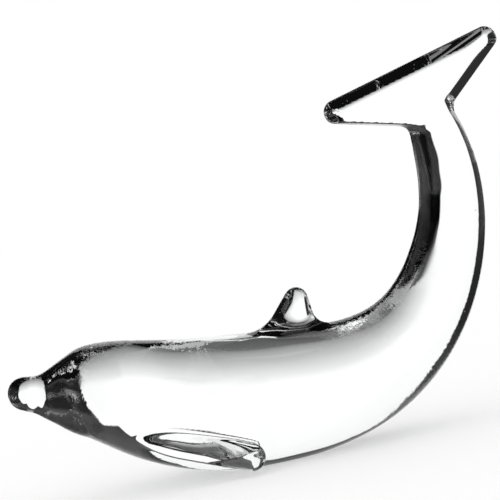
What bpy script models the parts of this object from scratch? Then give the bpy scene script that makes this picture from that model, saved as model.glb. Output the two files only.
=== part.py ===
"""Dolphin figurine cast in clear crystal: one solid, standing on a flat ground under its belly.

The body is a loft along a curved spine. The tail fluke and the back fin are bevelled plates and the two
flippers are lofts, all joined to it, and the joints are rounded off as they are in glass that was pressed hot.
The glass is symmetric about the plane y = 0, head towards -X, tail raised towards +X, and z = 0 is the table.
"""

import math

import bmesh
import bpy
import numpy as np

mm = 0.001

# Lines plan of the body, in mm. Each row is one station on the spine, from the tip of the beak to the fluke:
# x and z on the spine, half depth in the plane of symmetry, half width across it, and the keel, which is how
# much the section narrows towards the back (0 is an ellipse).
stations = [
    (-81.9, 35.9, 4.8, 1.7, 0.00),
    (-80.0, 35.3, 4.9, 2.9, 0.00),
    (-78.2, 34.7, 5.0, 3.8, 0.00),
    (-76.0, 34.0, 5.3, 4.0, 0.00),
    (-73.4, 33.3, 5.9, 3.8, 0.00),
    (-70.8, 32.7, 7.3, 5.3, 0.00),
    (-67.3, 32.1, 9.5, 7.9, 0.00),
    (-61.6, 31.3, 12.8, 12.0, 0.00),
    (-57.5, 30.8, 14.2, 14.4, 0.03),
    (-50.0, 28.8, 16.0, 15.9, 0.05),
    (-39.0, 24.4, 18.3, 16.5, 0.06),
    (-19.3, 19.2, 20.3, 17.0, 0.08),
    (3.7, 17.7, 19.5, 16.4, 0.12),
    (26.4, 21.0, 16.4, 14.0, 0.16),
    (43.0, 30.8, 13.2, 11.0, 0.22),
    (54.3, 46.3, 11.3, 8.6, 0.28),
    (60.4, 65.2, 9.7, 6.4, 0.30),
    (59.4, 88.9, 7.3, 4.3, 0.30),
    (56.9, 99.5, 4.6, 2.4, 0.20),
]
foot_trim = 1.6 * mm  # ground off the belly to make the flat that it stands on

# Tail fluke: a flat plate in the plane of symmetry, square across the end of the spine. Its bevels are given as
# the slope of the trailing, upper leading and lower leading edge; the trailing one turns round both tips.
fluke_span = 57.0 * mm
fluke_chord = 21.0 * mm  # from the trailing edge to where the two leading edges would meet
fluke_tip_radius = 3.8 * mm
fluke_root_radius = 3.0 * mm
fluke_half_thickness = 3.9 * mm
fluke_bevels = (36.0, 75.0, 75.0)  # degrees
fluke_half_rim = 0.7 * mm  # half thickness that the bevels leave at the outline
fluke_reach = 8.3 * mm  # from the last station of the spine to the trailing edge

# Back fin: a flat plate in the plane of symmetry, leaning back, on a foot that flares out over the back.
fin_height = 12.2 * mm  # above the back
fin_tip_radius = 4.0 * mm
fin_front_run = 15.2 * mm  # from the tip's centre forwards to the foot of the leading edge
fin_rear_run = 2.0 * mm  # from the tip's centre backwards to the foot of the trailing edge
fin_foot_radius = 2.4 * mm
fin_root_sink = 3.0 * mm  # how deep the feet are set in the back
fin_half_thickness = 2.5 * mm
fin_bevels = (90.0, 50.0, 26.0)  # degrees: the foot is square, then the trailing and the leading edge
fin_half_rim = 1.5 * mm
fin_place = 0.465  # of the spine's length
flare_radius = 6.0 * mm  # of the hollow round the fin's foot
flare_half_length = 6.0 * mm  # of the fin where the hollow ends
flare_centre = -4.5 * mm  # along the back, from the tip's centre
flare_sink = 0.3 * mm  # how deep the hollow's outer edge lies in the back

# Flippers: flattened lofts that leave the chest and sweep back and down to just above the table.
flipper_start = np.array([-45.0, 13.4, 17.0]) * mm
flipper_middle = np.array([-27.0, 15.8, 10.0]) * mm
flipper_tip = np.array([-9.9, 17.6, 3.8]) * mm
flipper_half_breadth = 4.1 * mm
flipper_half_thickness = 2.9 * mm
flipper_root_share = 0.35  # of the flipper's length, over which it swells to its full breadth

skin_voxel = 1.1 * mm  # cell of the remesh that melts the forms together
smoothing_rounds = 5
facet_share = 0.25  # of the remesh's facets that are kept, most of them where the glass bends most
ring_points = 32
rings_along = 120
beak_rings = 9
corner_points = 9
path_steps = 33
table_size = 0.4


def natural_cubic(knots, values, at):
    """Values at the places `at` of the smooth curve through the knots, its ends free of bending."""
    knots, values = np.asarray(knots, float), np.asarray(values, float)
    gap = np.diff(knots)[:, None]
    slope = np.diff(values, axis=0) / gap
    count = len(knots)
    system = np.eye(count)
    right = np.zeros_like(values)
    for i in range(1, count - 1):
        system[i, i - 1 : i + 2] = gap[i - 1, 0], 2 * (gap[i - 1, 0] + gap[i, 0]), gap[i, 0]
        right[i] = 6 * (slope[i] - slope[i - 1])
    bend = np.linalg.solve(system, right)
    k = np.clip(np.searchsorted(knots, at) - 1, 0, count - 2)
    step = (np.asarray(at) - knots[k])[:, None]
    linear = slope[k] - gap[k] * (2 * bend[k] + bend[k + 1]) / 6
    cubic = (bend[k + 1] - bend[k]) / (6 * gap[k])
    return values[k] + step * linear + step**2 * bend[k] / 2 + step**3 * cubic


def spine_length_knots():
    """Distance along the spine of each station, as the sum of the straight steps."""
    places = np.array(stations)[:, :2] * mm
    return np.concatenate([[0.0], np.cumsum(np.linalg.norm(np.diff(places, axis=0), axis=1))])


def body_frames(at):
    """Centre, back direction, half depth, half width and keel of the body at lengths `at` of the spine."""
    rows = np.array(stations) * (mm, mm, mm, mm, 1.0)
    knots = spine_length_knots()
    found = natural_cubic(knots, rows, at)
    small = 0.01 * mm
    ahead = natural_cubic(knots, rows[:, :2], at + small) - natural_cubic(knots, rows[:, :2], at - small)
    along = ahead / np.linalg.norm(ahead, axis=1)[:, None]
    centre = np.column_stack([found[:, 0], np.zeros(len(at)), found[:, 1]])
    back = np.column_stack([-along[:, 1], np.zeros(len(at)), along[:, 0]])
    return centre, back, found[:, 2], found[:, 3], found[:, 4]


def foot_level():
    """Height of the ground flat above the lines plan's own zero: the belly's lowest point and the trim."""
    at = np.linspace(0, spine_length_knots()[-1], 4 * rings_along)
    centre, back, depth, _, _ = body_frames(at)
    return (centre[:, 2] - back[:, 2] * depth).min() + foot_trim


def link(obj, collection):
    collection.objects.link(obj)
    return obj


def finished(name, bm, collection):
    """The object made of a closed mesh, its faces turned outwards."""
    bmesh.ops.recalc_face_normals(bm, faces=bm.faces)
    mesh = bpy.data.meshes.new(name)
    bm.to_mesh(mesh)
    bm.free()
    return link(bpy.data.objects.new(name, mesh), collection)


def skin(name, rings, first, last, collection):
    """A closed mesh over a stack of rings with equal numbers of points, closed by a point at each end."""
    bm = bmesh.new()
    rows = [[bm.verts.new(p) for p in ring] for ring in rings]
    ends = bm.verts.new(first), bm.verts.new(last)
    count = len(rows[0])
    for i in range(count):
        j = (i + 1) % count
        for low, high in zip(rows, rows[1:]):
            bm.faces.new((low[i], low[j], high[j], high[i]))
        bm.faces.new((ends[0], rows[0][j], rows[0][i]))
        bm.faces.new((ends[1], rows[-1][i], rows[-1][j]))
    return finished(name, bm, collection)


def body(collection):
    """Loft of egg-shaped sections along the spine, with a round beak."""
    length = spine_length_knots()[-1]
    beak_radius = stations[0][2] * mm
    turn = np.linspace(0, math.pi / 2, beak_rings + 1)[1:]
    at = np.concatenate([beak_radius * (1 - np.cos(turn)), np.linspace(beak_radius, length, rings_along)[1:]])
    centre, back, depth, width, keel = body_frames(at)
    cap = np.sqrt(1 - np.clip(1 - at / beak_radius, 0, 1) ** 2)
    around = np.linspace(0, 2 * math.pi, ring_points, endpoint=False)
    up = (depth * cap)[:, None] * np.cos(around)
    side = (width * cap)[:, None] * np.sin(around) * (1 - keel[:, None] * np.cos(around))
    rings = centre[:, None, :] + up[:, :, None] * back[:, None, :]
    rings[:, :, 1] += side
    rings[:, :, 2] -= foot_level()
    nose, _, _, _, _ = body_frames(np.array([0.0, length]))
    nose[:, 2] -= foot_level()
    return skin("dolphin", rings, nose[0], nose[1], collection)


def side_headings(circles):
    """Direction of the outward normal of each straight side, from one circle to the next, anticlockwise."""
    headings = []
    for (x0, z0, r0), (x1, z1, r1) in zip(circles, circles[1:] + circles[:1]):
        lean = math.asin((r0 - r1) / math.hypot(x1 - x0, z1 - z0))
        headings.append(math.atan2(z1 - z0, x1 - x0) - math.pi / 2 + lean)
    return headings


def hull_of_circles(circles):
    """Outline of a rubber band round circles (x, z, radius) given anticlockwise."""
    headings = side_headings(circles)
    points = []
    for i, (x, z, radius) in enumerate(circles):
        start, end = headings[i - 1], headings[i]
        while end < start:
            end += 2 * math.pi
        for angle in np.linspace(start, end, corner_points):
            points.append((x + radius * math.cos(angle), z + radius * math.sin(angle)))
    return points


def bevel_cut(bm, place, half_rim, heading, slope):
    """Grind a bevel on both sides of a plate: `place` is on its rim, `heading` points out of it."""
    out = np.array([math.cos(heading), 0.0, math.sin(heading)]) * math.sin(slope)
    for side in (1, -1):
        normal = out + np.array([0.0, side * math.cos(slope), 0.0])
        through = (place[0], side * half_rim, place[1])
        every = bm.verts[:] + bm.edges[:] + bm.faces[:]
        bmesh.ops.bisect_plane(bm, geom=every, dist=1e-7, plane_co=through, plane_no=normal, clear_outer=True)
        bmesh.ops.edgeloop_fill(bm, edges=[edge for edge in bm.edges if edge.is_boundary])


def bevelled_plate(circles, half_thickness, half_rim, bevels):
    """Flat plate in the plane of symmetry with the circles' outline and a bevel along each straight side,
    given by its slope in degrees; 90 leaves that side square."""
    bm = bmesh.new()
    outline = hull_of_circles(circles)
    layers = [[bm.verts.new((x, y, z)) for x, z in outline] for y in (-half_thickness, half_thickness)]
    for layer in layers:
        bm.faces.new(layer)
    for i in range(len(layers[0])):
        bm.faces.new((layers[0][i - 1], layers[0][i], layers[1][i], layers[1][i - 1]))
    for (x, z, radius), heading, degrees in zip(circles, side_headings(circles), bevels):
        if degrees < 90:
            rim = (x + radius * math.cos(heading), z + radius * math.sin(heading))
            bevel_cut(bm, rim, half_rim, heading, math.radians(degrees))
    return bm


def fluke(collection):
    """The tail's plate, with its straight trailing edge square to the spine's end."""
    length = spine_length_knots()[-1]
    centre, back, _, _, _ = body_frames(np.array([length]))
    across = back[0]  # towards the tip above the back
    inward = np.array([-across[2], 0, across[0]])  # from the trailing edge towards the body
    end = centre[0] - fluke_reach * inward
    half = fluke_span / 2 - fluke_tip_radius
    circles = []
    for span, chord, radius in (
        (-half, fluke_tip_radius, fluke_tip_radius),
        (half, fluke_tip_radius, fluke_tip_radius),
        (0.0, fluke_chord - fluke_root_radius, fluke_root_radius),
    ):
        point = end + span * across + chord * inward
        circles.append((point[0], point[2] - foot_level(), radius))
    bm = bevelled_plate(circles, fluke_half_thickness, fluke_half_rim, fluke_bevels)
    trailing = side_headings(circles)[0]
    for (x, z, radius), turn in zip(circles, (-math.pi / 2, math.pi / 2)):
        heading = trailing + turn
        rim = (x + radius * math.cos(heading), z + radius * math.sin(heading))
        bevel_cut(bm, rim, fluke_half_rim, heading, math.radians(fluke_bevels[0]))
    return finished("fluke_form", bm, collection)


def fin_root():
    """Spine under the fin's tip, the directions up and rearward there, and the half depth and half width."""
    centre, back, depth, width, _ = body_frames(np.array([fin_place * spine_length_knots()[-1]]))
    centre[0, 2] -= foot_level()
    up = back[0]
    return centre[0], up, np.array([up[2], 0, -up[0]]), depth[0], width[0]


def back_fin(collection):
    """The fin on the back, its feet set into the body."""
    centre, up, rearward, depth, _ = fin_root()
    circles = []
    for run, rise, radius in (
        (-fin_front_run, -fin_root_sink, fin_foot_radius),
        (fin_rear_run, -fin_root_sink, fin_foot_radius),
        (0.0, fin_height - fin_tip_radius, fin_tip_radius),
    ):
        point = centre + run * rearward + (depth + rise) * up
        circles.append((point[0], point[2], radius))
    bm = bevelled_plate(circles, fin_half_thickness, fin_half_rim, fin_bevels)
    return finished("back_fin_form", bm, collection)


def fin_flare(collection):
    """Hollow-sided foot that carries the round of the back up into the fin."""
    centre, up, rearward, depth, width = fin_root()
    around = np.linspace(0, 2 * math.pi, ring_points, endpoint=False)
    rings = []
    for turn in np.linspace(0, math.pi / 2, corner_points):
        out = flare_radius * (1 - math.sin(turn))
        run = flare_centre + (flare_half_length + out) * np.cos(around)
        side = (fin_half_thickness + out) * np.sin(around)
        rise = depth * np.sqrt(1 - (side / width) ** 2) + flare_radius * (1 - math.cos(turn)) - flare_sink
        ring = centre + run[:, None] * rearward + rise[:, None] * up
        ring[:, 1] = side
        rings.append(ring)
    middle = centre + flare_centre * rearward
    low, high = middle + depth / 2 * up, middle + (depth + flare_radius - flare_sink) * up
    return skin("fin_flare_form", rings, low, high, collection)


def flipper(collection):
    """The right flipper: a flattened spindle along a bent path, mirrored to the left side."""
    share = np.linspace(0, 1, path_steps)
    path = natural_cubic([0.0, 0.5, 1.0], np.array([flipper_start, flipper_middle, flipper_tip]), share)
    length = np.linalg.norm(flipper_tip - flipper_start)
    along = np.gradient(path, axis=0)
    along /= np.linalg.norm(along, axis=1)[:, None]
    outward = np.cross(along, np.array([0.0, -1.0, 0.0]))
    outward /= np.linalg.norm(outward, axis=1)[:, None]
    flat = np.cross(along, outward)
    # the spindle swells from a fine root and keeps its breadth to a round tip
    swell = np.sqrt(1 - np.clip(1 - share / flipper_root_share, 0, 1) ** 2)
    tip_share = 1 - flipper_half_breadth / length
    round_off = np.sqrt(1 - np.clip((share - tip_share) / (1 - tip_share), 0, 1) ** 2)
    breadth = flipper_half_breadth * swell * round_off
    thick = flipper_half_thickness * swell * round_off
    around = np.linspace(0, 2 * math.pi, ring_points, endpoint=False)
    rings = (
        path[1:-1, None, :]
        + (breadth[1:-1, None] * np.cos(around))[:, :, None] * outward[1:-1, None, :]
        + (thick[1:-1, None] * np.sin(around))[:, :, None] * flat[1:-1, None, :]
    )
    obj = skin("flipper_form", rings, path[0], path[-1], collection)
    mirror = obj.modifiers.new("left flipper", "MIRROR")
    mirror.use_axis = (False, True, False)
    mirror.use_mirror_merge = False
    return obj


def table(collection):
    """Everything below z = 0, which the grinding wheel takes off."""
    bpy.ops.mesh.primitive_cube_add(size=1, location=(0, 0, -table_size / 4))
    obj = bpy.context.object
    obj.name = "table_cutter"
    obj.scale = (table_size, table_size, table_size / 2)
    bpy.ops.object.transform_apply(location=False, rotation=False, scale=True)
    for owner in list(obj.users_collection):
        owner.objects.unlink(obj)
    return link(obj, collection)


def crystal():
    """Clear polished lead crystal."""
    material = bpy.data.materials.new("crystal")
    material.use_nodes = True
    shader = material.node_tree.nodes["Principled BSDF"]
    shader.inputs["Base Color"].default_value = (0.98, 0.99, 1.0, 1.0)
    shader.inputs["Metallic"].default_value = 0.0
    shader.inputs["Roughness"].default_value = 0.0
    shader.inputs["IOR"].default_value = 1.54
    shader.inputs["Transmission Weight"].default_value = 1.0
    return material


def boolean(obj, operation, other):
    modifier = obj.modifiers.new(f"{operation.lower()} {other.name}", "BOOLEAN")
    modifier.operation = operation
    modifier.object = other
    modifier.solver = "EXACT"


def main():
    for obj in list(bpy.data.objects):
        bpy.data.objects.remove(obj)
    parts = bpy.data.collections.new("dolphin figurine")
    helpers = bpy.data.collections.new("forms and cutters")
    for collection in (parts, helpers):
        bpy.context.scene.collection.children.link(collection)
    dolphin = body(parts)
    for form in (fluke(helpers), back_fin(helpers), fin_flare(helpers), flipper(helpers)):
        boolean(dolphin, "UNION", form)
    remesh = dolphin.modifiers.new("melt the joints together", "REMESH")
    remesh.mode = "VOXEL"
    remesh.voxel_size = skin_voxel
    remesh.use_smooth_shade = True
    smooth = dolphin.modifiers.new("fire polish", "SMOOTH")
    smooth.factor = 0.5
    smooth.iterations = smoothing_rounds
    thin_out = dolphin.modifiers.new("fewer facets", "DECIMATE")
    thin_out.ratio = facet_share
    thin_out.use_symmetry = True
    thin_out.symmetry_axis = "Y"
    boolean(dolphin, "DIFFERENCE", table(helpers))
    dolphin.data.materials.append(crystal())
    for helper in helpers.objects:
        helper.hide_render = True
        helper.display_type = "WIRE"


main()
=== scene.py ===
import math
import bmesh
import bpy
import numpy as np
from mathutils import Matrix, Vector


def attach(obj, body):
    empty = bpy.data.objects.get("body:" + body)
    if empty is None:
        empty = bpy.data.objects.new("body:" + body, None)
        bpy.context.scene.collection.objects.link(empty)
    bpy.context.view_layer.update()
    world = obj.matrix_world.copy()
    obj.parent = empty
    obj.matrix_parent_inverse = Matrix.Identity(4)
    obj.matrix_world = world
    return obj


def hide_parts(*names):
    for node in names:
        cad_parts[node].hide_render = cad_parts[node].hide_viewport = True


# A clear crystal dolphin on white. The glass sees a white card in a dark room, which draws its edges dark.
# Head towards -X, tail towards +X, the plane of symmetry is y = 0 and the table is z = 0. Metres throughout.

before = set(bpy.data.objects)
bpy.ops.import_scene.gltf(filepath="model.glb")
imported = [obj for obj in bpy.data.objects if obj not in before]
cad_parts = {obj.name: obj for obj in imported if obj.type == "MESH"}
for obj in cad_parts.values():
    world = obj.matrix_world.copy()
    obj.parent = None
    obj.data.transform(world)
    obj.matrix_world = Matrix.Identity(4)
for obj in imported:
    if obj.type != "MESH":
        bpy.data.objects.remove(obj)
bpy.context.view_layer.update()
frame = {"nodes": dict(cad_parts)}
print("frame loaded:", ", ".join(frame["nodes"]))

mm = 0.001

bodySizes = {
    # lines plan, nose to fluke: spine x and z, half depth, half width, keel (0 is an ellipse)
    "stations": [
        (-81.9, 35.9, 4.8, 1.3, 0.00),
        (-80.0, 35.3, 4.9, 2.3, 0.00),
        (-78.2, 34.7, 5.0, 3.3, 0.00),
        (-76.0, 34.0, 5.3, 4.3, 0.00),
        (-73.4, 33.3, 5.9, 4.4, 0.00),
        (-70.8, 32.7, 7.3, 5.0, 0.00),
        (-67.3, 32.1, 9.5, 7.1, 0.00),
        (-61.6, 31.3, 12.8, 10.6, 0.00),
        (-57.5, 30.8, 14.2, 13.2, 0.03),
        (-50.0, 28.8, 16.0, 16.3, 0.05),
        (-39.0, 24.4, 18.3, 16.5, 0.06),
        (-19.3, 19.2, 20.3, 17.0, 0.08),
        (3.7, 17.7, 19.5, 16.4, 0.12),
        (26.4, 21.0, 16.4, 14.0, 0.16),
        (43.0, 30.8, 13.2, 11.0, 0.22),
        (54.3, 46.3, 11.3, 8.6, 0.28),
        (60.4, 65.2, 9.7, 6.4, 0.30),
        (59.4, 88.9, 7.3, 4.3, 0.30),
        (56.9, 99.5, 4.6, 2.4, 0.20),
    ],
    "footTrim": 1.6,  # ground off the lowest point of the belly
    "tailCap": 4.0,  # the spine's end closes over this length, inside the fluke
    "beakRings": 14,
    "ringsAlong": 220,
    "pointsRound": 96,
    "spineSamples": 900,
    "leanRounds": 3,  # of the search for where on the keeled ring a point lies
}

flukeSizes = {  # mm
    "span": 57.0,
    "chord": 21.0,
    "tipRadius": 3.8,
    "rootRadius": 3.0,
    "halfThickness": 3.9,
    "reach": 8.3,  # spine's end to trailing edge
    "bevels": (30.5, 86.0, 36.0),  # slope of the trailing, left leading and right leading bevels, degrees
    "edgeRound": 0.7,
    "flatRound": 0.45,
    "draft": 0.14,  # of the upright walls
    "wallRound": 0.5,
    "melt": 3.0,  # width of the rounded joint
}

finSizes = {  # mm
    "height": 12.2,
    "tipRadius": 4.0,
    "footRadius": 2.4,
    "frontRun": 13.8,
    "rearRun": 2.0,
    "sink": 3.0,
    "halfThickness": 3.8,
    "place": 0.465,  # share of the spine's length
    "bevels": (90.0, 46.0, 29.0),  # slope at the foot, the trailing and the leading edge, degrees
    "edgeRound": 0.9,
    "flatRound": 1.0,
    "draft": 0.5,
    "wallRound": 0.6,
    "melt": 4.5,
}

flipperSizes = {  # mm
    "start": (-45.0, 13.4, 17.0),
    "middle": (-27.0, 15.8, 10.0),
    "tip": (-9.9, 17.6, 3.8),
    "halfBreadth": 4.0,
    "halfThickness": 2.8,
    "rootShare": 0.35,  # of its length, over which it swells
    "melt": 1.4,
    "ringsAlong": 72,
    "pointsRound": 48,
    "pathSamples": 160,
    "margin": 8.0,  # round the path, outside which the flipper is left out
}

plateGrid = {
    "pointsRound": 180,
    "rimRings": 25,
    "flatRings": 8,
    "flatFrom": 0.15,  # share of the way out at which the flats' rings start
}

skinSizes = {  # mm
    "cell": 1.04,  # of the first skin, before it's halved
    "firstRounds": 3,
    "settleRounds": 4,
    "probe": 0.02,  # step of the slope along a normal
    "slide": 0.6,  # the most that a point moves in a round
    "leastSlope": 0.4,
    "normalReach": 0.05,  # step of the slope that gives the normals
    "flatLevel": 0.01,  # under this height a face that looks down is the ground flat
    # the casting's faint waves: height, lengths upward, across and along, and the share of each of the two
    "waveHeight": 0.03,
    "waveLengths": (9.0, 11.0, 52.0),
    "waveShares": (0.6, 0.4),
    "waveSway": 1.8,
    "secondWave": (0.53, 0.6, 1.7),  # its turns upward, across and along, against the first's
}

pointsAtOnce = 8000  # keeps the nearest-point tables small


def splineThrough(knots, values, at):
    # natural cubic spline: second slopes from the tridiagonal system, then the usual cubic between knots
    knots, values, at = np.asarray(knots, float), np.asarray(values, float), np.asarray(at, float)
    gap = np.diff(knots)[:, None]
    slope = np.diff(values, axis=0) / gap
    inner = np.arange(1, len(knots) - 1)
    system = np.eye(len(knots))
    system[inner, inner - 1] = gap[:-1, 0]
    system[inner, inner] = 2 * (gap[:-1, 0] + gap[1:, 0])
    system[inner, inner + 1] = gap[1:, 0]
    right = np.zeros_like(values)
    right[1:-1] = 6 * np.diff(slope, axis=0)
    bend = np.linalg.solve(system, right)
    k = np.clip(np.searchsorted(knots, at) - 1, 0, len(knots) - 2)
    step = (at - knots[k])[:, None]
    linear = slope[k] - gap[k] * (2 * bend[k] + bend[k + 1]) / 6
    curve = values[k] + step * linear + step**2 * bend[k] / 2
    return curve + step**3 * (bend[k + 1] - bend[k]) / (6 * gap[k])


# the spine: its knots lie at the stations' distances along it
stationRows = np.array(bodySizes["stations"]) * (mm, mm, mm, mm, 1.0)
spineKnots = np.concatenate([[0.0], np.cumsum(np.linalg.norm(np.diff(stationRows[:, :2], axis=0), axis=1))])
spineLength = spineKnots[-1]


def spineAt(at):
    # the stations' values at these lengths, the heading and the direction of the back
    step = 0.01 * mm
    rows = splineThrough(spineKnots, stationRows, at)
    ahead = splineThrough(spineKnots, stationRows[:, :2], at + step)
    ahead = ahead - splineThrough(spineKnots, stationRows[:, :2], at - step)
    ahead /= np.linalg.norm(ahead, axis=1)[:, None]
    return rows, ahead, np.column_stack([-ahead[:, 1], ahead[:, 0]])


spineS = np.linspace(0, spineLength, bodySizes["spineSamples"])
spineRows, spineAhead, spineBack = spineAt(spineS)
footLevel = (spineRows[:, 1] - spineBack[:, 1] * spineRows[:, 2]).min() + bodySizes["footTrim"] * mm
spineRows[:, 1] -= footLevel
beakRadius = stationRows[0, 2]
tailCap = bodySizes["tailCap"] * mm


def addGrid(name, grid, firstPole, lastPole):
    # a grid of rings (rings, points round, xyz), closed at both ends by a fan to a pole
    rings, count, _ = grid.shape
    verts = np.vstack([grid.reshape(-1, 3), firstPole, lastPole])
    k, i = np.meshgrid(np.arange(rings - 1), np.arange(count), indexing="ij")
    j = (i + 1) % count
    near, far = k * count, (k + 1) * count
    quads = np.stack([near + i, near + j, far + j, far + i], -1).reshape(-1, 4)
    i, last = np.arange(count), (rings - 1) * count
    j = (i + 1) % count
    poles = rings * count
    fans = np.vstack([
        np.column_stack([np.full(count, poles), j, i]),
        np.column_stack([np.full(count, poles + 1), last + i, last + j]),
    ])
    mesh = bpy.data.meshes.new(name)
    mesh.from_pydata(verts.tolist(), [], quads.tolist() + fans.tolist())
    bm = bmesh.new()
    bm.from_mesh(mesh)
    bmesh.ops.recalc_face_normals(bm, faces=bm.faces)
    bm.to_mesh(mesh)
    bm.free()
    obj = bpy.data.objects.new(name, mesh)
    bpy.context.scene.collection.objects.link(obj)
    return obj


def bodyForm():
    # centre(s) + cos(v) depth(s) back(s) + sin(v) width(s) (1 - keel cos v) Y,
    # with a quarter circle for the beak
    turn = np.linspace(0, math.pi / 2, bodySizes["beakRings"])[1:]
    beak = beakRadius * (1 - np.cos(turn))
    at = np.concatenate([beak, np.linspace(beakRadius, spineLength, bodySizes["ringsAlong"])[1:]])
    rows, _, back = spineAt(at)
    cap = np.sqrt(1 - np.clip(1 - at / beakRadius, 0, 1) ** 2)[:, None]
    v = np.linspace(0, 2 * math.pi, bodySizes["pointsRound"], endpoint=False)
    up = rows[:, 2:3] * cap * np.cos(v)
    side = rows[:, 3:4] * cap * np.sin(v) * (1 - rows[:, 4:5] * np.cos(v))
    grid = np.stack([rows[:, :1] + up * back[:, :1], side, rows[:, 1:2] - footLevel + up * back[:, 1:2]], -1)
    ends = np.column_stack([spineRows[[0, -1], 0], [0, 0], spineRows[[0, -1], 1]])
    return addGrid("bodyForm", grid, ends[0], ends[1])


def flukeCorners():
    # centres of the three round corners: two tips on the trailing edge and the root, as (x, z, radius)
    s = flukeSizes
    end, across = spineRows[-1, :2], spineBack[-1]
    inward = np.array([-across[1], across[0]])
    trailing = end - s["reach"] * mm * inward
    half = (s["span"] / 2 - s["tipRadius"]) * mm
    tip, root = s["tipRadius"] * mm, s["rootRadius"] * mm
    return np.array([
        [*(trailing - half * across + tip * inward), tip],
        [*(trailing + half * across + tip * inward), tip],
        [*(trailing + (s["chord"] * mm - root) * inward), root],
    ])


def finCorners():
    # as the fluke's: the front and the rear foot, sunk in the back, and the tip
    s = finSizes
    rows, _, back = spineAt(np.array([s["place"] * spineLength]))
    up = back[0]
    root = rows[0, :2] - (0, footLevel) + up * rows[0, 2]
    rearward = np.array([up[1], -up[0]])
    foot, tip = s["footRadius"] * mm, s["tipRadius"] * mm
    return np.array([
        [*(root - s["frontRun"] * mm * rearward - s["sink"] * mm * up), foot],
        [*(root + s["rearRun"] * mm * rearward - s["sink"] * mm * up), foot],
        [*(root + (s["height"] - s["tipRadius"]) * mm * up), tip],
    ])


def plateForm(name, corners, halfThickness):
    # a sphere of the corner's radius, flattened to the plate, swept over the triangle: rings of latitude u on
    # an outline at angle v, where each outline point is the corner that lies farthest in direction v
    v = np.linspace(0, 2 * math.pi, plateGrid["pointsRound"], endpoint=False)
    heading = np.column_stack([np.cos(v), np.sin(v)])
    farthest = np.argmax(corners[:, :2] @ heading.T + corners[:, 2:3], axis=0)
    u = np.linspace(0, math.pi, plateGrid["rimRings"])[1:-1]
    core = corners[farthest, :2]
    reach = corners[farthest, 2]
    middle = corners[:, :2].mean(0)
    # the flats' rings run from near the middle out to the rim's, and fans close them
    flats, start = plateGrid["flatRings"], plateGrid["flatFrom"]
    share = np.concatenate([np.linspace(start, 1, flats), np.ones(len(u)), np.linspace(1, start, flats)])
    radial = np.concatenate([np.zeros(flats), np.sin(u), np.zeros(flats)])
    lift = np.concatenate([np.ones(flats), np.cos(u), -np.ones(flats)])
    base = middle + share[:, None, None] * (core - middle)
    plan = base + (radial[:, None] * reach)[:, :, None] * heading
    grid = np.stack([plan[:, :, 0], np.repeat((lift * halfThickness)[:, None], len(v), 1), plan[:, :, 1]], -1)
    poles = [(middle[0], side * halfThickness, middle[1]) for side in (1, -1)]
    return addGrid(name, grid, poles[0], poles[1])


def flipperPath(samples):
    # bent path through three points, with the breadth direction in the plane of symmetry
    s = flipperSizes
    share = np.linspace(0, 1, samples)
    path = splineThrough([0, 0.5, 1], np.array([s["start"], s["middle"], s["tip"]]) * mm, share)
    along = np.gradient(path, axis=0)
    along /= np.linalg.norm(along, axis=1)[:, None]
    broad = np.cross(along, [0.0, -1.0, 0.0])
    broad /= np.linalg.norm(broad, axis=1)[:, None]
    length = np.linalg.norm(np.diff(path, axis=0), axis=1).sum()
    swell = np.sqrt(1 - np.clip(1 - share / s["rootShare"], 0, 1) ** 2)
    tipShare = 1 - s["halfBreadth"] * mm / length
    close = np.sqrt(1 - np.clip((share - tipShare) / (1 - tipShare), 0, 1) ** 2)
    return path, along, broad, np.cross(along, broad), swell * close, share * length


def flipperForm():
    # path(s) + cos(v) breadth(s) B + sin(v) thickness(s) T,
    # both swelling by a quarter ellipse and closing by one
    path, _, broad, thick, swell, _ = flipperPath(flipperSizes["ringsAlong"])
    v = np.linspace(0, 2 * math.pi, flipperSizes["pointsRound"], endpoint=False)
    a = flipperSizes["halfBreadth"] * mm * swell[1:-1, None] * np.cos(v)
    b = flipperSizes["halfThickness"] * mm * swell[1:-1, None] * np.sin(v)
    grid = path[1:-1, None] + a[:, :, None] * broad[1:-1, None] + b[:, :, None] * thick[1:-1, None]
    right = addGrid("flipperForm", grid, path[0], path[-1])
    mirrored = (1, -1, 1)
    left = addGrid("flipperFormLeft", grid * mirrored, path[0] * mirrored, path[-1] * mirrored)
    return [right, left]


def bodyDistance(p):
    # nearest spine sample, then the ellipse distance: (q - 1) q / |gradient of q|, q = 1 on the skin
    flat = p[:, [0, 2]]
    s = np.empty(len(p))
    for part in np.array_split(np.arange(len(p)), max(1, len(p) // pointsAtOnce)):
        gap = ((flat[part, None] - spineRows[None, :, :2]) ** 2).sum(-1)
        near = gap.argmin(1)
        s[part] = spineS[near] + ((flat[part] - spineRows[near, :2]) * spineAhead[near]).sum(-1)
    inside = np.clip(s, 0, spineLength)
    at = [np.interp(inside, spineS, column) for column in (*spineRows.T, *spineBack.T)]
    cx, cz, depth, width, keel, bx, bz = at
    a = (flat[:, 0] - cx) * bx + (flat[:, 1] - cz) * bz
    over = np.where(s < beakRadius, (beakRadius - s) / beakRadius, 0)
    end = np.where(s > spineLength - tailCap, (s - spineLength + tailCap) / tailCap, 0)
    capped = np.maximum(over, end)
    capLength = np.where(end > 0, tailCap, beakRadius)
    lean = np.zeros(len(p))
    for _ in range(bodySizes["leanRounds"]):
        w = width * (1 - keel * lean)
        q = np.sqrt(capped**2 + (a / depth) ** 2 + (p[:, 1] / w) ** 2) + 1e-9
        lean = np.clip(a / depth / q, -1, 1)
    steep = np.sqrt((capped / capLength) ** 2 + (a / depth**2) ** 2 + (p[:, 1] / w**2) ** 2) + 1e-9
    return (q - 1) * q / steep


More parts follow.
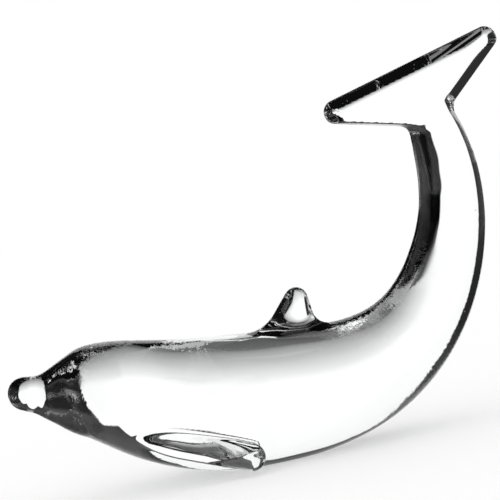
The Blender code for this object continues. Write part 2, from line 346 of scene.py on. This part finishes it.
def planDistance(flat, corners):
    # distance to the triangle's round-cornered outline in plan, negative inside
    points, radii = corners[:, :2], corners[:, 2]
    best, nearest = np.full(len(flat), np.inf), flat.copy()
    within = np.ones(len(flat), bool)
    for a, b in zip(points, np.roll(points, -1, 0)):
        edge = b - a
        t = np.clip(((flat - a) @ edge) / (edge @ edge), 0, 1)
        foot = a + t[:, None] * edge
        gap = np.linalg.norm(flat - foot, axis=1)
        within &= edge[0] * (flat[:, 1] - a[1]) - edge[1] * (flat[:, 0] - a[0]) > 0
        closer = gap < best
        best, nearest = np.where(closer, gap, best), np.where(closer[:, None], foot, nearest)
    plane = np.linalg.solve(np.column_stack([points, np.ones(3)]), radii)
    radius = np.column_stack([nearest, np.ones(len(flat))]) @ plane
    return np.where(within, -best, best) - radius


def melt(a, b, width):
    # the lesser of two distances, rounded where they are within width of each other
    h = np.clip(0.5 + 0.5 * (b - a) / width, 0, 1)
    return b + (a - b) * h - width * h * (1 - h)


def bevelledDistance(p, corners, s, tipsToo):
    # a slab cut by a bevel along each side; |y| is rounded at the rim, and the cuts melt into the flats
    flat = p[:, [0, 2]]
    outline = planDistance(flat, corners)
    edgeRound = s["edgeRound"] * mm
    lift = np.sqrt(p[:, 1] ** 2 + edgeRound**2) - edgeRound
    solid = np.abs(p[:, 1]) - s["halfThickness"] * mm
    places, radii = corners[:, :2], corners[:, 2]
    for number, (a, b) in enumerate(zip(places, np.roll(places, -1, 0))):
        length = np.linalg.norm(b - a)
        ahead = (b - a) / length
        along, off = (flat - a) @ ahead, (flat - a) @ (ahead[1], -ahead[0])
        line = off - np.interp(along, [0, length], [radii[number], radii[(number + 1) % 3]])
        if tipsToo and number == 0:
            # the trailing bevel turns round both tips: the distance to a strip with rounded ends
            past = np.maximum(-along, along - length)
            line = np.hypot(np.maximum(past, 0), np.maximum(off, 0))
            line = line + np.minimum(np.maximum(past, off), 0) - radii[0]
        slope = math.radians(s["bevels"][number])
        solid = -melt(-solid, -(lift * math.cos(slope) + line * math.sin(slope)), s["flatRound"] * mm)
    return -melt(-solid, -(outline + s["draft"] * lift), s["wallRound"] * mm)


def flipperDistance(p):
    # as the body's, round the flipper's own path; both flippers at once through |y|
    found = np.full(len(p), 1.0)  # a metre off, wherever the flipper is left out
    path, along, broad, thick, _, length = flipperPath(flipperSizes["pathSamples"])
    side = np.column_stack([p[:, 0], np.abs(p[:, 1]), p[:, 2]])
    margin = flipperSizes["margin"] * mm
    lo, hi = path.min(0) - margin, path.max(0) + margin
    close = np.flatnonzero(((side > lo) & (side < hi)).all(1))
    if len(close) == 0:
        return found
    q = side[close]
    parts = np.array_split(q, max(1, len(q) // pointsAtOnce))
    near = np.concatenate([((part[:, None] - path[None]) ** 2).sum(-1).argmin(1) for part in parts])
    off = q - path[near]
    broadHalf = flipperSizes["halfBreadth"] * mm
    thickHalf = flipperSizes["halfThickness"] * mm
    a, b, t = ((off * axis[near]).sum(-1) for axis in (broad, thick, along))
    s = length[near] + t
    tipFrom = length[-1] - broadHalf
    rootTo = length[-1] * flipperSizes["rootShare"]
    cap = np.where(s > tipFrom, (s - tipFrom) / broadHalf, 0) + np.where(s < rootTo, (rootTo - s) / rootTo, 0)
    capLength = np.where(s > tipFrom, broadHalf, rootTo)
    g = np.sqrt((a / broadHalf) ** 2 + (b / thickHalf) ** 2 + cap**2) + 1e-9
    steep = np.sqrt((a / broadHalf**2) ** 2 + (b / thickHalf**2) ** 2 + (cap / capLength) ** 2) + 1e-9
    found[close] = (g - 1) * g / steep
    return found


flukePlate = flukeCorners()
finPlate = finCorners()


def castWaves(p):
    # two crossing waves, sin(up + sway sin(along)) cos(across) and a slower one, both even in y
    lengths = zip((2, 1, 0), skinSizes["waveLengths"])
    up, across, along = (2 * math.pi * p[:, axis] / (length * mm) for axis, length in lengths)
    slowUp, slowAcross, slowAlong = skinSizes["secondWave"]
    first = np.sin(up + skinSizes["waveSway"] * np.sin(along)) * np.cos(across)
    second = np.sin(slowUp * up + slowAlong * along) * np.cos(slowAcross * across)
    firstShare, secondShare = skinSizes["waveShares"]
    return skinSizes["waveHeight"] * mm * (firstShare * first + secondShare * second)


def skinDistance(p):
    # the forms' distances, melted into one another
    d = bodyDistance(p) + castWaves(p)
    d = melt(d, bevelledDistance(p, flukePlate, flukeSizes, True), flukeSizes["melt"] * mm)
    d = melt(d, bevelledDistance(p, finPlate, finSizes, False), finSizes["melt"] * mm)
    return melt(d, flipperDistance(p), flipperSizes["melt"] * mm)


def readMesh(mesh):
    # its points and their averaged normals
    verts = np.empty(len(mesh.vertices) * 3, np.float32)
    normals = np.empty(len(mesh.vertices) * 3, np.float32)
    mesh.vertices.foreach_get("co", verts)
    mesh.vertex_normals.foreach_get("vector", normals)
    return verts.reshape(-1, 3).astype(float), normals.reshape(-1, 3).astype(float)


def settle(mesh, rounds):
    # each point slides along its normal onto the skin: Newton steps on the distance
    probe, slide, leastSlope = skinSizes["probe"] * mm, skinSizes["slide"] * mm, skinSizes["leastSlope"]
    for _ in range(rounds):
        verts, normals = readMesh(mesh)
        here = skinDistance(verts)
        slope = (skinDistance(verts + probe * normals) - here) / probe
        slope = np.where(np.abs(slope) < leastSlope, leastSlope, slope)
        verts -= normals * np.clip(here / slope, -slide, slide)[:, None]
        mesh.vertices.foreach_set("co", verts.astype(np.float32).ravel())
        mesh.update()
    return np.abs(here).max() / mm


def baked(obj):
    # the object's mesh as its modifiers leave it
    graph = bpy.context.evaluated_depsgraph_get()
    graph.update()
    mesh = bpy.data.meshes.new_from_object(obj.evaluated_get(graph))
    obj.modifiers.clear()
    obj.data = mesh
    return mesh


def groundFlat(mesh):
    # everything under the table is taken off and the cut closed with one flat face
    bm = bmesh.new()
    bm.from_mesh(mesh)
    every = bm.verts[:] + bm.edges[:] + bm.faces[:]
    down = (0, 0, -1)
    bmesh.ops.bisect_plane(bm, geom=every, dist=1e-7, plane_co=(0, 0, 0), plane_no=down, clear_outer=True)
    rim = [edge for edge in bm.edges if edge.is_boundary]
    bmesh.ops.contextual_create(bm, geom=rim)
    for edge in rim:
        edge.smooth = False
    bmesh.ops.triangulate(bm, faces=[face for face in bm.faces if len(face.verts) > 4])
    bmesh.ops.recalc_face_normals(bm, faces=bm.faces)
    bm.to_mesh(mesh)
    bm.free()


def exactNormals(mesh):
    # each corner's normal is the gradient of the skin's distance, sampled at a tetrahedron's corners;
    # the corners of the flat underside keep (0, 0, -1)
    verts, _ = readMesh(mesh)
    reach = skinSizes["normalReach"] * mm
    slope = np.zeros_like(verts)
    for corner in np.array([(1, -1, -1), (-1, -1, 1), (-1, 1, -1), (1, 1, 1)]):
        slope += corner * skinDistance(verts + reach * corner)[:, None]
    slope /= np.linalg.norm(slope, axis=1)[:, None]
    point = np.empty(len(mesh.loops), np.int32)
    mesh.loops.foreach_get("vertex_index", point)
    facing = np.empty(len(mesh.polygons) * 3, np.float32)
    mesh.polygons.foreach_get("normal", facing)
    corners = np.empty(len(mesh.polygons), np.int32)
    mesh.polygons.foreach_get("loop_total", corners)
    height = np.add.reduceat(verts[point, 2], np.cumsum(corners) - corners)
    under = (facing[2::3] < -0.999) & (height < skinSizes["flatLevel"] * mm)
    normals = slope[point]
    normals[np.repeat(under, corners)] = (0, 0, -1)
    mesh.normals_split_custom_set(normals.tolist())


def crystalDolphin():
    # the rough forms give one skin, which settles on the exact distance, is halved and settles again
    forms = [bodyForm(), plateForm("flukeForm", flukePlate, flukeSizes["halfThickness"] * mm)]
    forms.append(plateForm("finForm", finPlate, finSizes["halfThickness"] * mm))
    forms += flipperForm()
    bpy.ops.object.select_all(action="DESELECT")
    for form in forms:
        form.select_set(True)
    bpy.context.view_layer.objects.active = forms[0]
    bpy.ops.object.join()
    dolphin = bpy.context.object
    dolphin.name = "crystalDolphin"
    remesh = dolphin.modifiers.new("oneSkin", "REMESH")
    remesh.mode = "VOXEL"
    remesh.voxel_size = skinSizes["cell"] * mm
    mesh = baked(dolphin)
    off = settle(mesh, skinSizes["firstRounds"])
    print("first skin:", len(mesh.vertices), "points, off by", round(off, 3), "mm")
    halve = dolphin.modifiers.new("halve", "SUBSURF")
    halve.levels = halve.render_levels = 1
    mesh = baked(dolphin)
    off = settle(mesh, skinSizes["settleRounds"])
    print("fine skin:", len(mesh.vertices), "points, off by", round(off, 3), "mm")
    groundFlat(mesh)
    mesh.polygons.foreach_set("use_smooth", [True] * len(mesh.polygons))
    exactNormals(mesh)
    return dolphin


dolphin = crystalDolphin()

crystalLook = {
    "index": 1.52,
    "tint": (0.985, 0.992, 0.995, 1.0),
    "paleTint": (0.995, 0.998, 1.0, 1.0),
    "tintPatch": (30.0, 30.0, 30.0),  # patches per metre
    "smudgeScale": (90.0, 90.0, 90.0),
    "smudgeRange": (0.5, 0.8),  # noise levels at which a smudge starts and is full
    "smudgeRough": 0.012,
    "waveScale": (55.0, 55.0, 55.0),  # waves per metre
    "waveHeight": 0.02,  # mm
    "seedScale": 420.0,
    "seedSize": 0.055,
    "seedHeight": 0.03,  # mm
    "shadowLight": (0.97, 0.98, 0.985, 1.0),
}


def crystalGlass():
    # clear, with the faint waves and seeds of pressed glass; a shadow ray passes straight through
    look = crystalLook
    material = bpy.data.materials.new("clearCrystal")
    material.use_nodes = True
    tree = material.node_tree
    nodes, link = tree.nodes, tree.links.new
    shader = nodes["Principled BSDF"]
    shader.inputs["IOR"].default_value = look["index"]
    shader.inputs["Transmission Weight"].default_value = 1.0
    place = nodes.new("ShaderNodeTexCoord").outputs["Object"]

    def noise(scale, detail):
        stretch = nodes.new("ShaderNodeMapping")
        stretch.inputs["Scale"].default_value = scale
        link(place, stretch.inputs["Vector"])
        node = nodes.new("ShaderNodeTexNoise")
        node.inputs["Scale"].default_value = 1.0
        node.inputs["Detail"].default_value = detail
        link(stretch.outputs["Vector"], node.inputs["Vector"])
        return node.outputs["Fac"]

    def bump(height, depth, before=None):
        node = nodes.new("ShaderNodeBump")
        node.inputs["Strength"].default_value = 1.0
        node.inputs["Distance"].default_value = depth * mm
        link(height, node.inputs["Height"])
        if before:
            link(before, node.inputs["Normal"])
        return node.outputs["Normal"]

    tint = nodes.new("ShaderNodeMix")
    tint.data_type = "RGBA"
    link(noise(look["tintPatch"], 1.0), tint.inputs["Factor"])
    tint.inputs["A"].default_value = look["tint"]
    tint.inputs["B"].default_value = look["paleTint"]
    link(tint.outputs["Result"], shader.inputs["Base Color"])

    smudge = nodes.new("ShaderNodeMapRange")
    smudge.inputs["From Min"].default_value = look["smudgeRange"][0]
    smudge.inputs["From Max"].default_value = look["smudgeRange"][1]
    smudge.inputs["To Max"].default_value = look["smudgeRough"]
    link(noise(look["smudgeScale"], 3.0), smudge.inputs["Value"])
    link(smudge.outputs["Result"], shader.inputs["Roughness"])

    seeds = nodes.new("ShaderNodeTexVoronoi")
    seeds.inputs["Scale"].default_value = look["seedScale"]
    link(place, seeds.inputs["Vector"])
    dimple = nodes.new("ShaderNodeMapRange")
    dimple.inputs["From Max"].default_value = look["seedSize"]
    link(seeds.outputs["Distance"], dimple.inputs["Value"])
    waves = bump(noise(look["waveScale"], 1.0), look["waveHeight"])
    link(bump(dimple.outputs["Result"], look["seedHeight"], waves), shader.inputs["Normal"])

    through = nodes.new("ShaderNodeBsdfTransparent")
    through.inputs["Color"].default_value = look["shadowLight"]
    pick = nodes.new("ShaderNodeMixShader")
    link(nodes.new("ShaderNodeLightPath").outputs["Is Shadow Ray"], pick.inputs["Fac"])
    link(shader.outputs["BSDF"], pick.inputs[1])
    link(through.outputs["BSDF"], pick.inputs[2])
    link(pick.outputs["Shader"], nodes["Material Output"].inputs["Surface"])
    return material


dolphin.data.materials.clear()
dolphin.data.materials.append(crystalGlass())
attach(dolphin, "root")
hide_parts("dolphin")
print("crystal set")

studio = {
    "floorHalf": 60.0,
    "floorDrop": 0.2,  # mm under the figurine
    "floorWhite": 0.95,
    "floorGlow": 0.05,
    "lens": 100.0,
    "frameWidth": 0.150,
    "aimX": -0.0018,
    "aimZ": 0.0633,
    "roll": 11.96,  # degrees
    "elevation": 2.0,
    "clip": (0.01, 200),
}

# what the glass sees of the room: grey levels by azimuth, 0 straight behind it and + to its right, in degrees
room = {
    "cardLevel": 1.08,  # the white card behind the figurine
    "cardRight": (25.5, -0.55, 31.0),  # its edge at the horizon, the change with elevation, the most
    "cardLeft": -25.5,
    "cardTop": ((4.0, 45.0), (8.0, 11.7)),  # elevation of its top left and right of a step
    "cardSoft": 1.0,
    "cardLeftSoft": 1.2,
    "walls": [
        (-180, 0.65), (-166, 0.65), (-160, 0.03), (-124, 0.03), (-118, 0.35), (-70, 0.35), (-64, 0.03),
        (-30, 0.02), (32, 0.0), (105, 0.0), (116, 0.03), (126, 0.04), (132, 0.65), (180, 0.65),
    ],
    "ceiling": [
        (-180, 0.10), (-60, 0.05), (-30, 0.06), (4, 0.06), (10, 0.03), (82, 0.04), (120, 0.08), (180, 0.10),
    ],
    "ceilingFrom": (22.0, 8.0),  # elevation and softness
    "table": [
        (-180, 0.30), (-150, 0.35), (-140, 0.60), (-113, 1.50), (-83, 1.30), (-60, 0.75), (-42, 0.62),
        (-25, 1.0), (180, 1.0),
    ],
    "tableShadeFall": [  # by elevation: painted shade, the table darkening towards straight down, where the floor near the figurine lies in its shadow
        (-90, 0.15), (-65, 0.25), (-55, 0.34), (-45, 0.42), (-35, 0.58), (-25, 0.85), (-17, 1.08), (90, 1.08),
    ],
    "tableFrom": (-20.0, 4.0),
    "cloth": (92.0, 62.0, 6.0),  # a black cloth on the table: middle, half width, softness
    "clothFront": (5.0, -0.9, 52.0),  # as the card's edge
    "clothFrontSoft": 2.0,
}


def whiteFloor():
    bpy.ops.mesh.primitive_plane_add(size=2 * studio["floorHalf"], location=(0, 0, -studio["floorDrop"] * mm))
    floor = bpy.context.object
    floor.name = "whiteFloor"
    floor.visible_transmission = floor.visible_glossy = False
    material = bpy.data.materials.new("whitePaper")
    material.use_nodes = True
    paper = material.node_tree.nodes["Principled BSDF"]
    paper.inputs["Base Color"].default_value = (studio["floorWhite"],) * 3 + (1,)
    paper.inputs["Specular IOR Level"].default_value = 0.0
    paper.inputs["Emission Color"].default_value = (1, 1, 1, 1)
    paper.inputs["Emission Strength"].default_value = studio["floorGlow"]
    floor.data.materials.append(material)


def studioWorld():
    # white for the camera and for what the floor gathers, and the room above for what the glass bends
    world = bpy.data.worlds.new("studio")
    bpy.context.scene.world = world
    world.use_nodes = True
    world.cycles.sampling_method = "NONE"
    nodes, link = world.node_tree.nodes, world.node_tree.links.new

    def calc(operation, *values):
        node = nodes.new("ShaderNodeMath")
        node.operation = operation
        for socket, value in zip(node.inputs, values):
            if isinstance(value, (int, float)):
                socket.default_value = value
            else:
                link(value, socket)
        return node.outputs[0]

    def byAngle(angle, stops):
        # a grey ramp over -180 to 180 degrees
        ramp = nodes.new("ShaderNodeValToRGB")
        elements = ramp.color_ramp.elements
        for k, (at, level) in enumerate(stops):
            stop = elements[0] if k == 0 else elements.new(at / 360 + 0.5)
            stop.position, stop.color = at / 360 + 0.5, (level, level, level, 1)
        elements.remove(elements[len(stops)])
        link(calc("MULTIPLY_ADD", angle, 1 / 360, 0.5), ramp.inputs["Fac"])
        return ramp.outputs["Color"]

    def under(value, limit, soft):
        # 1 below the limit and 0 above it
        step = nodes.new("ShaderNodeMapRange")
        step.interpolation_type = "SMOOTHSTEP"
        for socket, number in zip(("From Min", "From Max", "To Min", "To Max"), (-soft, soft, 1, 0)):
            step.inputs[socket].default_value = number
        link(calc("SUBTRACT", value, limit), step.inputs["Value"])
        return step.outputs["Result"]

    def blend(share, first, second):
        # from the first at 0 to the second at 1
        return calc("MULTIPLY_ADD", share, calc("SUBTRACT", second, first), first)

    def slanted(line):
        # an edge that leans with the elevation
        start, change, most = line
        return calc("MINIMUM", calc("MULTIPLY_ADD", elevation, change, start), most)

    heading = nodes.new("ShaderNodeSeparateXYZ")
    link(nodes.new("ShaderNodeTexCoord").outputs["Generated"], heading.inputs[0])
    azimuth = calc("MULTIPLY", calc("ARCTAN2", heading.outputs["X"], heading.outputs["Y"]), math.degrees(1))
    elevation = calc("MULTIPLY", calc("ARCSINE", heading.outputs["Z"]), math.degrees(1))

    (stepFrom, topLeft), (stepTo, topRight) = room["cardTop"]
    top = blend(under(azimuth, (stepFrom + stepTo) / 2, (stepTo - stepFrom) / 2), topRight, topLeft)
    right, left = under(azimuth, slanted(room["cardRight"]), room["cardSoft"]), room["cardLeft"]
    card = calc("MULTIPLY", right, under(elevation, top, room["cardSoft"]))
    card = calc("MULTIPLY", card, calc("SUBTRACT", 1, under(azimuth, left, room["cardLeftSoft"])))
    walls, ceiling = byAngle(azimuth, room["walls"]), byAngle(azimuth, room["ceiling"])
    upper = blend(card, blend(under(elevation, *room["ceilingFrom"]), ceiling, walls), room["cardLevel"])

    middle, half, soft = room["cloth"]
    cloth = under(calc("ABSOLUTE", calc("SUBTRACT", azimuth, middle)), half, soft)
    front = under(azimuth, slanted(room["clothFront"]), room["clothFrontSoft"])
    cloth = calc("MULTIPLY", cloth, calc("SUBTRACT", 1, front))
    # the table's grey levels by azimuth, times its painted shade by elevation
    table = calc("MULTIPLY", byAngle(azimuth, room["table"]), byAngle(elevation, room["tableShadeFall"]))
    seen = blend(under(elevation, *room["tableFrom"]), upper, blend(cloth, table, 0.0))

    path = nodes.new("ShaderNodeLightPath").outputs
    plain = calc("MINIMUM", calc("ADD", path["Is Camera Ray"], path["Diffuse Depth"]), 1.0)
    link(blend(plain, seen, 1.0), nodes["Background"].inputs["Color"])
    nodes["Background"].inputs["Strength"].default_value = 1.0


def photoCamera():
    # looks along +Y from a little above, rolled as the photo is
    data = bpy.data.cameras.new("camera")
    data.lens = studio["lens"]
    camera = bpy.data.objects.new("camera", data)
    bpy.context.scene.collection.objects.link(camera)
    distance = studio["frameWidth"] * data.lens / data.sensor_width
    tilt = math.radians(studio["elevation"])
    aim = Vector((studio["aimX"], 0, studio["aimZ"]))
    back = Vector((0, -math.cos(tilt), math.sin(tilt)))
    roll = Matrix.Rotation(-math.radians(studio["roll"]), 3, "Z")
    turn = (-back).to_track_quat("-Z", "Y").to_matrix() @ roll
    camera.matrix_world = Matrix.Translation(aim + back * distance) @ turn.to_4x4()
    data.clip_start, data.clip_end = studio["clip"]
    bpy.context.scene.camera = camera


whiteFloor()
studioWorld()
photoCamera()
bpy.context.scene.view_settings.view_transform = "Standard"
print("studio set")
